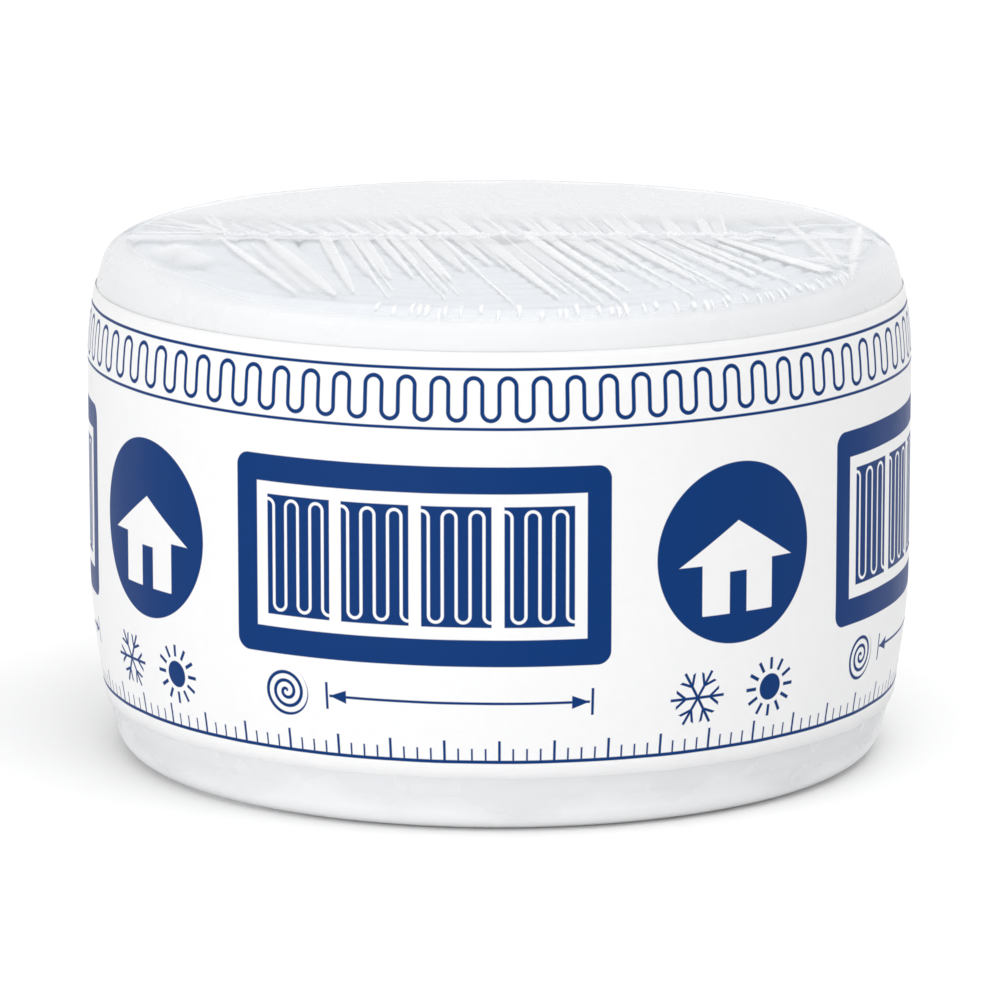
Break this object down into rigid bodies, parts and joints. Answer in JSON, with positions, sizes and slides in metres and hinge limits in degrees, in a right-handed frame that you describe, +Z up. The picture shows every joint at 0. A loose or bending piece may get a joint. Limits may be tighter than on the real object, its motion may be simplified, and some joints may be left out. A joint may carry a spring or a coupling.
{
  "type": "insulation roll",
  "caption": "Roll of glass-wool batt insulation standing on end, bagged in clear film with a gathered seal on top and a printed sleeve round its side.",
  "frame": {"origin": "on the floor, at the middle of the round base the roll stands on", "axes": "+Z up along the roll's axis, X along the straight seal across the top, -Y towards the front of the print"},
  "size_m": [0.6113, 0.6114, 0.3873],
  "materials": {
    "wool": "white glass wool, matt and fibrous",
    "clear_film": "clear shrunk polythene film, glossy",
    "sleeve_print": "white polythene film printed in blue, satin"
  },
  "bodies": {
    "root": {"rolled_batt": "wool", "clear_film_bag": "clear_film", "printed_sleeve": "sleeve_print"}
  },
  "joints": []
}
